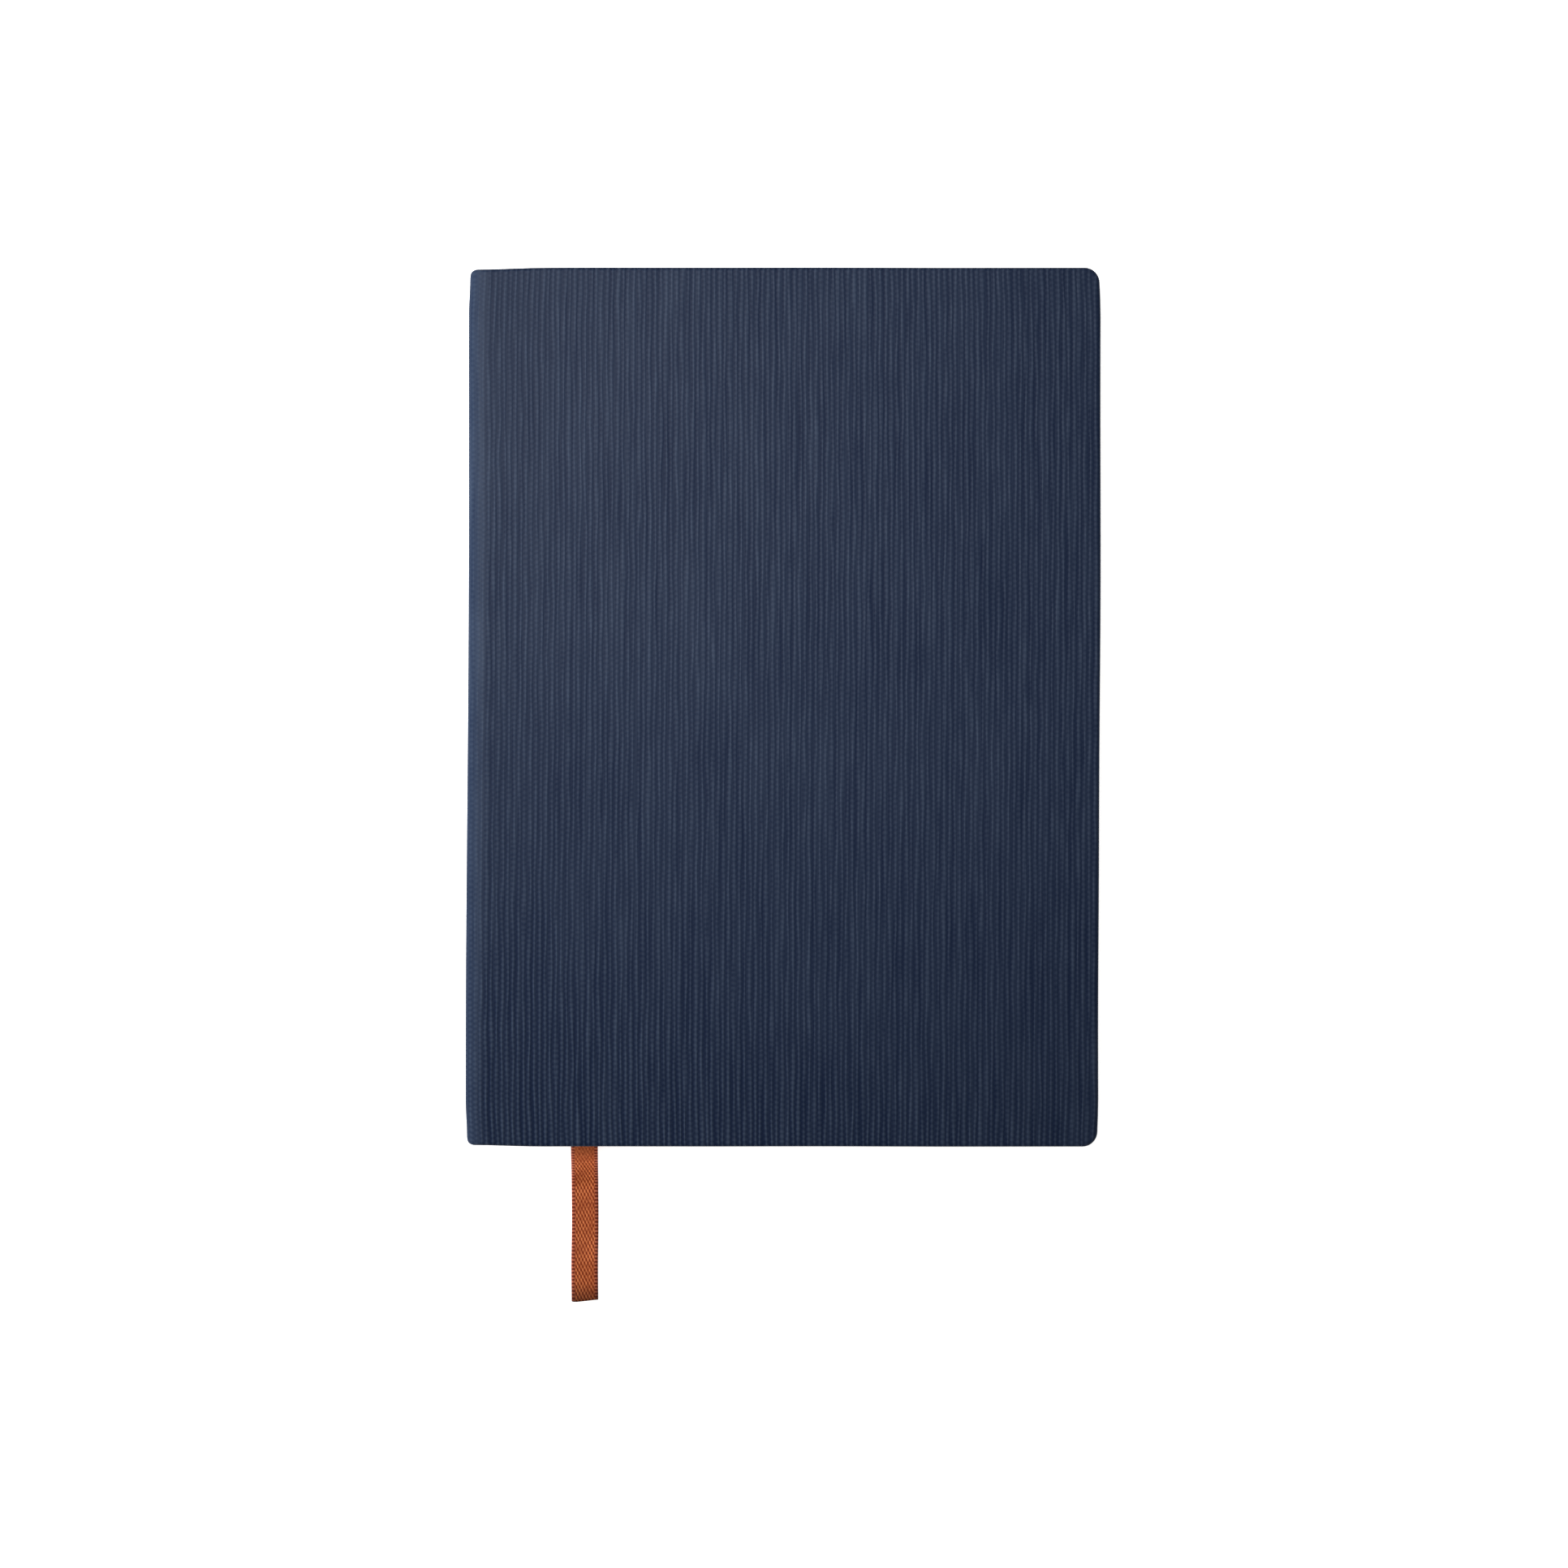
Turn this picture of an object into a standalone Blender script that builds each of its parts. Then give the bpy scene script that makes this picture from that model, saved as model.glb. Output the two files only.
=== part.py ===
"""Pilot logbook: a sewn book in one piece of navy cloth, with a ribbon marker, lying closed on its back.

The origin is under the middle of the book, on the surface that it lies on. +X runs from the spine to
the fore edge, +Y to the head, +Z out of the front cover. The ribbon leaves the book at the tail.

The book opens along a chain of hinges. Every hinge line runs along the spine, at the cloth's outer
face, in the gap between two neighbours: back cover, signatures 8 to 1, front cover.
"""

from math import atan2, cos, pi, sin

import bmesh
import bpy

MM = 0.001

# Closed book
WIDTH = 146.0 * MM
HEIGHT = 203.0 * MM
THICKNESS = 15.0 * MM
FORE_CORNER = 3.4 * MM
SPINE_CORNER = 1.4 * MM
EDGE_ROUNDING = 0.8 * MM
SHOULDER_WIDTH = 4.5 * MM
SHOULDER_DEPTH = 1.7 * MM
SHOULDER_STEPS = 6
BOARD_SETBACK = SHOULDER_WIDTH + 0.2 * MM

# Cover, from the outside in
CLOTH = 0.40 * MM
GLUE_LINE = 0.05 * MM
BOARD = 1.30 * MM
TURN_IN = 0.30 * MM
TURN_IN_WIDTH = 14.0 * MM
JOINT_LIP = 1.0 * MM
PASTEDOWN = 0.15 * MM

# Text block
SQUARE = 2.4 * MM
PAGE_CORNER = 3.0 * MM
SIGNATURES = 8
FLYLEAF = 0.13 * MM
LEAF_GAP = 0.10 * MM
CENTRE_GAP = 0.60 * MM
FOLD_ROUNDING = 0.30 * MM

# Spine, from the outside in
LINING = 0.20 * MM
MULL = 0.20 * MM
THREAD = 0.30 * MM
SEWING_STATIONS = 5
STATION_SPREAD = 170.0 * MM
STITCH_WIDTH = 1.5 * MM

# Head and tail bands
BAND_RADIUS = 0.75 * MM
BAND_RIB = 0.08 * MM
BAND_WRAPS = 16

# Ribbon marker
RIBBON_WIDTH = 6.1 * MM
RIBBON_THICKNESS = 0.25 * MM
RIBBON_EXIT_X = -46.6 * MM
RIBBON_ROOT_X = -68.0 * MM
RIBBON_TAIL = 37.1 * MM
RIBBON_DROP = 12.0 * MM

CORNER_STEPS = 6
SMALLEST_CORNER = 0.2 * MM

# Levels that follow from the sizes above
COVER_FLOOR = CLOTH + GLUE_LINE
BOARD_TOP = COVER_FLOOR + BOARD
TRAY_TOP = BOARD_TOP + GLUE_LINE + TURN_IN
PASTEDOWN_BOTTOM = TRAY_TOP + GLUE_LINE
COVER_TOP = PASTEDOWN_BOTTOM + PASTEDOWN
FLYLEAF_BOTTOM = COVER_TOP + LEAF_GAP
BLOCK_BOTTOM = FLYLEAF_BOTTOM + FLYLEAF + LEAF_GAP
HALF_COUNT = SIGNATURES // 2
HALF_BLOCK = (THICKNESS - CENTRE_GAP) / 2 - BLOCK_BOTTOM
SIGNATURE = (HALF_BLOCK - (HALF_COUNT - 1) * LEAF_GAP) / HALF_COUNT

SPINE_FACE = -WIDTH / 2
LINING_X = SPINE_FACE + CLOTH + GLUE_LINE
MULL_X = LINING_X + LINING + GLUE_LINE
THREAD_X = MULL_X + MULL + GLUE_LINE
FOLD_X = THREAD_X + THREAD + GLUE_LINE
FORE_X = WIDTH / 2 - SQUARE
BLOCK_Y = HEIGHT / 2 - SQUARE

NAVY = (0.022, 0.029, 0.050)
RUST = (0.360, 0.090, 0.030)
CREAM = (0.760, 0.700, 0.570)
PAPER = (0.800, 0.760, 0.660)
GREYBOARD = (0.300, 0.270, 0.230)
GAUZE = (0.700, 0.660, 0.560)
KRAFT = (0.380, 0.250, 0.140)
LINEN = (0.780, 0.740, 0.640)
BAND = (0.520, 0.420, 0.260)


def clear_scene():
    for old in list(bpy.data.objects):
        bpy.data.objects.remove(old, do_unlink=True)
    for old in list(bpy.data.meshes):
        bpy.data.meshes.remove(old)
    for old in list(bpy.data.materials):
        bpy.data.materials.remove(old)


def make_material(name, colour, roughness):
    material = bpy.data.materials.new(name)
    material.use_nodes = True
    shader = material.node_tree.nodes["Principled BSDF"]
    shader.inputs["Base Color"].default_value = (*colour, 1.0)
    shader.inputs["Roughness"].default_value = roughness
    shader.inputs["Metallic"].default_value = 0.0
    return material


def world_location(obj):
    """Where an object stands when nothing in its chain of parents is turned."""
    x = y = z = 0.0
    while obj is not None:
        x, y, z = x + obj.location.x, y + obj.location.y, z + obj.location.z
        obj = obj.parent
    return x, y, z


def place(obj, location, parent):
    bpy.context.scene.collection.objects.link(obj)
    obj.parent = parent
    base = world_location(parent) if parent else (0.0, 0.0, 0.0)
    obj.location = [at - start for at, start in zip(location, base)]


def make_pivot(name, location, parent):
    pivot = bpy.data.objects.new(name, None)
    pivot.empty_display_size = 10 * MM
    place(pivot, location, parent)
    return pivot


def make_solid(name, rings, location, parent, colour, roughness, smooth=False):
    """A closed body through rings of the same number of points, with its first and last ring filled."""
    mesh = bpy.data.meshes.new(name)
    bm = bmesh.new()
    loops = [[bm.verts.new(point) for point in ring] for ring in rings]
    count = len(loops[0])
    for lower, upper in zip(loops, loops[1:]):
        for i in range(count):
            j = (i + 1) % count
            bm.faces.new((lower[i], lower[j], upper[j], upper[i]))
    bm.faces.new(loops[0][::-1])
    bm.faces.new(loops[-1])
    bmesh.ops.recalc_face_normals(bm, faces=bm.faces)
    bm.to_mesh(mesh)
    bm.free()
    if smooth:
        mesh.shade_smooth()
        mesh.set_sharp_from_angle(angle=pi / 5)
    mesh.materials.append(make_material(name, colour, roughness))
    obj = bpy.data.objects.new(name, mesh)
    place(obj, location, parent)
    return obj


def rectangle(x0, x1, half_y, spine_radius, fore_radius):
    """Outline of a sheet with rounded corners, tighter at the spine than at the fore edge."""
    corners = (
        (x1, half_y, fore_radius, 0.0),
        (x0, half_y, spine_radius, 0.5 * pi),
        (x0, -half_y, spine_radius, pi),
        (x1, -half_y, fore_radius, 1.5 * pi),
    )
    points = []
    for x, y, radius, start in corners:
        radius = max(radius, SMALLEST_CORNER)
        centre_x = x - radius if x == x1 else x + radius
        centre_y = y - radius if y > 0 else y + radius
        for step in range(CORNER_STEPS + 1):
            angle = start + 0.5 * pi * step / CORNER_STEPS
            points.append((centre_x + radius * cos(angle), centre_y + radius * sin(angle)))
    return points


def cover_outline(inset, spine_inset=None):
    spine_inset = inset if spine_inset is None else spine_inset
    return rectangle(
        SPINE_FACE + spine_inset,
        WIDTH / 2 - inset,
        HEIGHT / 2 - inset,
        SPINE_CORNER - inset,
        FORE_CORNER - inset,
    )


def edge_inset(depth):
    """How far the rounded edge of a cover stands back at a depth under its outer face."""
    rise = max(EDGE_ROUNDING - depth, 0.0)
    return EDGE_ROUNDING - (EDGE_ROUNDING**2 - rise**2) ** 0.5


def shoulder_layers(skin):
    """Layers down the shoulder, where the cover rolls over to the spine. skin is 0 for its outer face."""
    layers = []
    for step in range(SHOULDER_STEPS + 1):
        angle = 0.5 * pi * step / SHOULDER_STEPS
        depth = skin + (SHOULDER_DEPTH - skin) * (1 - cos(angle))
        spine_inset = skin + (SHOULDER_WIDTH - skin) * (1 - sin(angle))
        inset = skin if skin else edge_inset(depth)
        layers.append((cover_outline(inset, spine_inset), depth))
    return layers


def page_outline(spine_x):
    return rectangle(spine_x, FORE_X, BLOCK_Y, SMALLEST_CORNER, PAGE_CORNER)


def stack(layers, side):
    """Rings from (outline, level) pairs. side is 1 for levels up from the outer face and -1 for down."""
    return [[(x, y, side * level) for x, y in outline] for outline, level in layers]


def make_cover(word, side, outer_z, parent, block_parent):
    """One cover and its flyleaf. side is 1 for the back cover, whose layers rise from the surface."""
    tray = shoulder_layers(0.0)
    tray += [
        (cover_outline(0.0), TRAY_TOP),
        (cover_outline(TURN_IN_WIDTH, JOINT_LIP), TRAY_TOP),
        (cover_outline(TURN_IN_WIDTH, JOINT_LIP), TRAY_TOP - TURN_IN),
        (cover_outline(CLOTH), TRAY_TOP - TURN_IN),
    ]
    tray += shoulder_layers(CLOTH)[::-1]
    at = (0.0, 0.0, outer_z)
    make_solid(word + "_cloth", stack(tray, side), at, parent, NAVY, 0.85)
    board = [
        (cover_outline(COVER_FLOOR, BOARD_SETBACK), COVER_FLOOR),
        (cover_outline(COVER_FLOOR, BOARD_SETBACK), BOARD_TOP),
    ]
    make_solid(word + "_board", stack(board, side), at, parent, GREYBOARD, 0.9)
    lining = rectangle(LINING_X, FORE_X, BLOCK_Y, SMALLEST_CORNER, PAGE_CORNER)
    pastedown = [(lining, PASTEDOWN_BOTTOM), (lining, COVER_TOP)]
    make_solid(word + "_pastedown", stack(pastedown, side), at, parent, CREAM, 0.8)
    leaf = page_outline(FOLD_X)
    flyleaf = [(leaf, FLYLEAF_BOTTOM), (leaf, FLYLEAF_BOTTOM + FLYLEAF)]
    make_solid(word + "_flyleaf", stack(flyleaf, side), at, block_parent, CREAM, 0.8)


def signature_bottom(number):
    """Level of the lower face of a signature, counted 1 at the front cover to 8 at the back cover."""
    from_back = SIGNATURES - number
    gaps = from_back * LEAF_GAP
    if from_back >= HALF_COUNT:
        gaps += CENTRE_GAP - LEAF_GAP
    return BLOCK_BOTTOM + from_back * SIGNATURE + gaps


def hinge_level(number):
    """Level of the hinge line under a signature. Number 0 gives the one under the front cover."""
    if number == SIGNATURES:
        return COVER_TOP + LEAF_GAP / 2
    if number == 0:
        return THICKNESS - COVER_TOP - LEAF_GAP / 2
    gap = CENTRE_GAP if number == HALF_COUNT else LEAF_GAP
    return signature_bottom(number) - gap / 2


def make_signature(number, parent):
    """A folded section of leaves, with its fold rounded and its fore corners cut round."""
    rings = [
        (page_outline(FOLD_X + FOLD_ROUNDING), 0.0),
        (page_outline(FOLD_X), FOLD_ROUNDING),
        (page_outline(FOLD_X), SIGNATURE - FOLD_ROUNDING),
        (page_outline(FOLD_X + FOLD_ROUNDING), SIGNATURE),
    ]
    at = (0.0, 0.0, signature_bottom(number))
    make_solid(f"signature_{number}", stack(rings, 1), at, parent, PAPER, 0.85)


def make_spine_sheet(name, x, thickness, half_y, bottom, parent, colour):
    outline = [(-half_y, bottom), (half_y, bottom)]
    outline += [(y, THICKNESS - z) for y, z in outline[::-1]]
    rings = [[(depth, y, z) for y, z in outline] for depth in (0.0, thickness)]
    make_solid(name, rings, (x, 0.0, 0.0), parent, colour, 0.9)


def make_stitches(number, parent):
    """A column of chain stitches over the folds at one sewing station, a link for each signature."""
    y = STATION_SPREAD * ((number - 1) / (SEWING_STATIONS - 1) - 0.5)
    steps_per_link = 8
    count = SIGNATURES * steps_per_link
    bottom, top = BLOCK_BOTTOM, THICKNESS - BLOCK_BOTTOM
    right, left = [], []
    for step in range(count + 1):
        z = bottom + (top - bottom) * step / count
        swell = sin(pi * (step % steps_per_link) / steps_per_link)
        half = STITCH_WIDTH * (0.22 + 0.28 * swell)
        right.append((half, z))
        left.append((-half, z))
    outline = right + left[::-1]
    rings = [[(depth, u, z) for u, z in outline] for depth in (0.0, THREAD)]
    make_solid(f"sewing_thread_{number}", rings, (THREAD_X, y, 0.0), parent, LINEN, 0.8)


def make_band(name, y, parent):
    """A ribbed bead of thread over a core, standing on the end of the text block at the spine."""
    around, per_wrap = 14, 4
    count = BAND_WRAPS * per_wrap
    bottom, top = FLYLEAF_BOTTOM, THICKNESS - FLYLEAF_BOTTOM
    rings = []
    for step in range(count + 1):
        radius = BAND_RADIUS - BAND_RIB * (1 - cos(2 * pi * step / per_wrap)) / 2
        z = bottom + (top - bottom) * step / count
        angles = [2 * pi * i / around for i in range(around)]
        rings.append([(radius * cos(a), radius * sin(a), z) for a in angles])
    x = FOLD_X + LEAF_GAP + BAND_RADIUS
    make_solid(name, rings, (x, y, 0.0), parent, BAND, 0.7, smooth=True)


def flat_strip(path, width, thickness):
    """Rings across a strip that follows a path. Its faces stay level across its width."""
    rings = []
    for i, (x, y, z) in enumerate(path):
        before, after = path[max(i - 1, 0)], path[min(i + 1, len(path) - 1)]
        heading = atan2(after[1] - before[1], after[0] - before[0])
        run = ((after[0] - before[0]) ** 2 + (after[1] - before[1]) ** 2) ** 0.5
        pitch = atan2(after[2] - before[2], run)
        side = (-sin(heading) * width / 2, cos(heading) * width / 2, 0.0)
        up = (
            -sin(pitch) * cos(heading) * thickness / 2,
            -sin(pitch) * sin(heading) * thickness / 2,
            cos(pitch) * thickness / 2,
        )
        signs = ((1, 1), (-1, 1), (-1, -1), (1, -1))
        rings.append(
            [
                (x + a * side[0] + b * up[0], y + a * side[1] + b * up[1], z + b * up[2])
                for a, b in signs
            ]
        )
    return rings


def smooth_step(t):
    t = min(max(t, 0.0), 1.0)
    return t * t * (3 - 2 * t)


def make_ribbon(inner_parent, tail_parent):
    """The marker, from the head of the spine across the page to the tail, and its free end."""
    middle = THICKNESS / 2
    steps = 24
    inner = []
    for step in range(steps + 1):
        t = step / steps
        y = BLOCK_Y - 2 * BLOCK_Y * t
        x = RIBBON_ROOT_X + (RIBBON_EXIT_X - RIBBON_ROOT_X) * smooth_step(t * 1.05)
        inner.append((x, y, middle))
    rings = flat_strip(inner, RIBBON_WIDTH, RIBBON_THICKNESS)
    make_solid("ribbon_inner", rings, (0.0, 0.0, 0.0), inner_parent, RUST, 0.6)

    start_y = -BLOCK_Y - GLUE_LINE * 6
    end_y = -HEIGHT / 2 - RIBBON_TAIL
    ledge = start_y - 1.2 * MM
    rest_z = RIBBON_THICKNESS / 2 + GLUE_LINE
    tail = [(0.0, start_y, middle)]
    steps = 14
    for step in range(steps + 1):
        t = step / steps
        y = ledge - RIBBON_DROP * t
        tail.append((0.0, y, middle + (rest_z - middle) * smooth_step(t)))
    tail.append((0.0, end_y, rest_z))
    origin = world_location(tail_parent)
    shifted = [(x, y - origin[1], z - origin[2]) for x, y, z in tail]
    rings = flat_strip(shifted, RIBBON_WIDTH, RIBBON_THICKNESS)
    at = (RIBBON_EXIT_X, origin[1], origin[2])
    make_solid("ribbon_tail", rings, at, tail_parent, RUST, 0.6)


def build():
    clear_scene()
    book = make_pivot("logbook", (0.0, 0.0, 0.0), None)

    # One pivot for each joint of the chain, from the back cover up to the front cover
    pivots, last = {}, book
    for number in range(SIGNATURES, -1, -1):
        name = f"hinge_under_signature_{number}" if number else "hinge_under_front_cover"
        last = make_pivot(name, (SPINE_FACE, 0.0, hinge_level(number)), last)
        pivots[number] = last

    make_cover("back", 1, 0.0, book, pivots[SIGNATURES])
    make_cover("front", -1, THICKNESS, pivots[0], pivots[1])
    for number in range(1, SIGNATURES + 1):
        make_signature(number, pivots[number])

    cloth_bottom = TRAY_TOP + LEAF_GAP
    half_y = HEIGHT / 2 - SPINE_CORNER / 2
    sheets = (
        ("spine_cloth", SPINE_FACE, CLOTH, half_y, cloth_bottom, NAVY),
        ("spine_lining", LINING_X, LINING, BLOCK_Y - MM, FLYLEAF_BOTTOM, KRAFT),
        ("spine_mull", MULL_X, MULL, BLOCK_Y - 6 * MM, FLYLEAF_BOTTOM, GAUZE),
    )
    for name, x, thickness, reach, bottom, colour in sheets:
        make_spine_sheet(name, x, thickness, reach, bottom, book, colour)
    for number in range(1, SEWING_STATIONS + 1):
        make_stitches(number, book)
    band_y = BLOCK_Y + LEAF_GAP + BAND_RADIUS
    make_band("head_band", band_y, book)
    make_band("tail_band", -band_y, book)

    page = pivots[HALF_COUNT + 1]
    ribbon_hinge = (RIBBON_EXIT_X, -BLOCK_Y, THICKNESS / 2)
    lift = make_pivot("hinge_of_ribbon_tail", ribbon_hinge, page)
    make_ribbon(page, lift)
    bpy.context.view_layer.update()


build()
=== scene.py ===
"""Pilot logbook: the visual model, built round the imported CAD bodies."""

from functools import reduce
from math import copysign, cos, dist, hypot, pi, sin

import bmesh
import bpy
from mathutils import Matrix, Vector, noise


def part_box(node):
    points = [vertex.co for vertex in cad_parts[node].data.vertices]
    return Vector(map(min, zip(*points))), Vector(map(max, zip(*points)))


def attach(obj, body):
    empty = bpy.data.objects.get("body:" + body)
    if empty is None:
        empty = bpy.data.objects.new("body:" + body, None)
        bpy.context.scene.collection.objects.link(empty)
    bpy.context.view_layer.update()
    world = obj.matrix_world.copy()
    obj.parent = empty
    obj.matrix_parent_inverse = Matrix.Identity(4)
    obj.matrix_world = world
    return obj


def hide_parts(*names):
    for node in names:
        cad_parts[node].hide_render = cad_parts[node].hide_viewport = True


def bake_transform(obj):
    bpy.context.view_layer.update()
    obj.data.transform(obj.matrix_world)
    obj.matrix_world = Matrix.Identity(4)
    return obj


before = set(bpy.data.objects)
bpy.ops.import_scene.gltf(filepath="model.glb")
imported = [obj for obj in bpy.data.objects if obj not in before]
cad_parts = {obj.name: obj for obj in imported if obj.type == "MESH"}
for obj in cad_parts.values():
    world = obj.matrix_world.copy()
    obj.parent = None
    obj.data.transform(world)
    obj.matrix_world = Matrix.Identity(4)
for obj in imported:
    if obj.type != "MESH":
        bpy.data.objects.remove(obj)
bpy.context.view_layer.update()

MM = 0.001
ROUNDING = 1e-6 * MM


def cad_box(node):
    """Lowest and highest corner of a CAD node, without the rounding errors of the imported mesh."""
    return [[round(value, 7) for value in corner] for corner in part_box(node)]


# The book's outline, from the CAD. +Y points to the head, and the spine is at -X
HALF_WIDTH, HALF_HEIGHT, THICKNESS = cad_box("front_cloth")[1]
MIDDLE = THICKNESS / 2
SPINE_X = -HALF_WIDTH

# Cover cloth: wrapped round a board on three sides, and a rounded shoulder down to the spine
FORE_CORNER = 3.4 * MM
SPINE_CORNER = 1.9 * MM
COVER = 2.1 * MM
EDGE_RADIUS = 0.8 * MM
INNER_EDGE_RADIUS = 0.7 * MM
TURN_IN = 13.0 * MM
TURN_IN_CLOTH = 0.3 * MM
SHOULDER_WIDTH = 4.5 * MM
SHOULDER_DEPTH = 1.7 * MM
JOIN_X = SPINE_X + SHOULDER_WIDTH
SPINE_SHEET = 0.75 * MM
SPINE_FLAT = 1.8 * MM  # How far down from the book's faces the covers hold the spine
SPINE_BULGE = 0.12 * MM
RIB_PITCH = 1.24 * MM

# How far the outline strays from a true rectangle, as it does in the photograph
LEAN_HEAD = 0.12 * MM
LEAN = 0.50 * MM
FLARE = 0.24 * MM
WAVE = 0.10 * MM
CORNER_PINCH = 0.30 * MM
SPINE_DRAW = 0.35 * MM
# How much the covers' faces sink and ripple, a guess
SAG = 0.05 * MM
RIPPLE = 0.015 * MM

# In each cover: left end, right end and half height, and depths of the two faces
BOARD = (-67.5 * MM, 71.5 * MM, 99.9 * MM)
BOARD_DEPTHS = (0.60 * MM, 1.70 * MM)
PASTEDOWN_X0 = -71.9 * MM
PASTEDOWN_DEPTHS = (2.22 * MM, 2.32 * MM)

# Block of folded sections, from the CAD, and the sheets in each of them
SIGNATURES = 8
(BLOCK_X0, _, _), (BLOCK_X1, BLOCK_Y, _) = cad_box("signature_1")
PAGE_CORNER = 3.0 * MM
SHEETS = 4
LEAF = 0.112 * MM
LEAF_TRIM = 0.05 * MM
LEAF_WAVE = 0.012 * MM
FLYLEAF = 0.12 * MM
FLYLEAF_Z = 2.465 * MM

# Lining, bands and chain stitches behind the folds
LINING_X = (-72.12 * MM, -72.52 * MM)
LINING_REACH = 95.0 * MM
LINING_Z = 2.4 * MM
BAND_X, BAND_Y = -70.85 * MM, 99.95 * MM
BAND_RADIUS = 0.75 * MM
BAND_WRAP = 0.64 * MM
BAND_GROOVE = 0.05 * MM
STATIONS = 5
STATION_SPREAD = 170.0 * MM
STITCH_X = -71.9 * MM
STITCH_SWING = 0.42 * MM
STITCH_GAP = 0.12 * MM
THREAD_RADIUS = 0.15 * MM

# Ribbon: between the middle sections, out at the tail, over the edge and along the table
RIBBON_WIDTH = 6.25 * MM
RIBBON_THICKNESS = 0.25 * MM
RIBBON_ROOT_X = -68.0 * MM
RIBBON_EXIT_X = -46.6 * MM
RIBBON_SHIFT = 0.2 * MM
RIBBON_Z = 7.42 * MM
RIBBON_REST_Z = 0.20 * MM
RIBBON_LEDGE = 1.4 * MM
RIBBON_DROP = 12.0 * MM
RIBBON_END_Y = -138.8 * MM
RIBBON_HUMP = 0.5 * MM
RIBBON_SWAY = 0.05 * MM
RIBBON_CUP = 0.10 * MM

# Vertices closer than this are joined
CLOTH_WELD = 0.004 * MM
RIBBON_WELD = 0.001 * MM


def signature_levels(number):
    """Lower and upper face of a signature."""
    return [corner[2] for corner in cad_box(f"signature_{number}")]


FROM_BACK = range(SIGNATURES, 0, -1)
BODIES = ["back_cover"] + [f"signature_{n}" for n in FROM_BACK] + ["front_cover"]
# Levels at which the back cover, each signature and the front cover hold the spine rigidly
STEADY = [SPINE_FLAT] + [sum(signature_levels(n)) / 2 for n in FROM_BACK] + [THICKNESS - SPINE_FLAT]
JOINTS = list(zip(BODIES, BODIES[1:], STEADY, STEADY[1:]))
MIDDLE_JOINT = 4
# Materials of the pieces that have a softer light of their own
PALE = ("ruled_page", "endpaper", "mull_on_kraft", "band_thread", "linen_thread")


def smooth_step(t):
    t = min(max(t, 0.0), 1.0)
    return t * t * (3 - 2 * t)


def ramp(value, start, end):
    """0 up to the start, 1 from the end on, and smooth between them."""
    return smooth_step((value - start) / (end - start))


def wander(x, y, z=0.0, size=1.0):
    """Smooth noise from -1 to 1, the same each run."""
    return noise.noise(Vector((x, y, z)) / size)


def quarter_turn(steps):
    """Angles from 0 to 90 degrees in equal steps."""
    return [0.5 * pi * step / steps for step in range(steps + 1)]


def levels_between(start, end, steps):
    return [start + (end - start) * step / steps for step in range(steps + 1)]


def run_lengths(points):
    """Distance along a line of points, from the first to each of them."""
    lengths = [0.0]
    for a, b in zip(points, points[1:]):
        lengths.append(lengths[-1] + dist(a, b))
    return lengths


# ---------------------------------------------------------------- meshes


class Builder:
    """Collects grids of points into one mesh with a UV map in metres."""

    def __init__(self):
        self.bm = bmesh.new()
        self.uv = self.bm.loops.layers.uv.new("UVMap")

    def grid(self, points, uvs, closed=False, material=0, smooth=True, flip=False):
        """Quads between rows of points. Closed joins the end of each row to its start."""
        rows = [[self.bm.verts.new(p) for p in row] for row in points]
        columns = len(rows[0])
        for r in range(len(rows) - 1):
            for c in range(columns if closed else columns - 1):
                d = (c + 1) % columns
                at = [(r, c), (r, d), (r + 1, d), (r + 1, c)]
                if flip:
                    at.reverse()
                face = self.bm.faces.new([rows[a][b] for a, b in at])
                face.material_index, face.smooth = material, smooth
                for loop, (a, b) in zip(face.loops, at):
                    u, v = uvs[a][b]
                    if closed and d == 0 and b == 0:
                        v = v + (uvs[a][1][1] - uvs[a][0][1]) * columns
                    loop[self.uv].uv = (u, v)
        return rows

    def cap(self, ring, uvs, flip=False):
        at = list(range(len(ring)))
        if flip:
            at.reverse()
        face = self.bm.faces.new([ring[i] for i in at])
        for loop, i in zip(face.loops, at):
            loop[self.uv].uv = uvs[i]

    def finish(self, name, materials, weld=None, recalc=False):
        if weld:
            bmesh.ops.remove_doubles(self.bm, verts=self.bm.verts, dist=weld)
        if recalc:
            bmesh.ops.recalc_face_normals(self.bm, faces=self.bm.faces)
        mesh = bpy.data.meshes.new(name)
        self.bm.to_mesh(mesh)
        self.bm.free()
        for material in materials:
            mesh.materials.append(material)
        obj = bpy.data.objects.new(name, mesh)
        bpy.context.scene.collection.objects.link(obj)
        return obj


def tube(builder, path, radius, sides=8):
    """A round thread along a path, open at its ends."""
    rings, uvs = [], []
    for i, (point, along) in enumerate(zip(path, run_lengths(path))):
        before, after = path[max(i - 1, 0)], path[min(i + 1, len(path) - 1)]
        axis = (Vector(after) - Vector(before)).normalized()
        side = axis.cross(Vector((1, 0, 0))).normalized()
        up = side.cross(axis)
        angles = [2 * pi * k / sides for k in range(sides)]
        rings.append([Vector(point) + radius * (cos(a) * side + sin(a) * up) for a in angles])
        uvs.append([(along, radius * a) for a in angles])
    builder.grid(rings, uvs, closed=True)


def bend_at(obj):
    """Bakes a piece's placement into its mesh, for a piece that spans one joint."""
    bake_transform(obj)


# ---------------------------------------------------------------- materials

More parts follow.
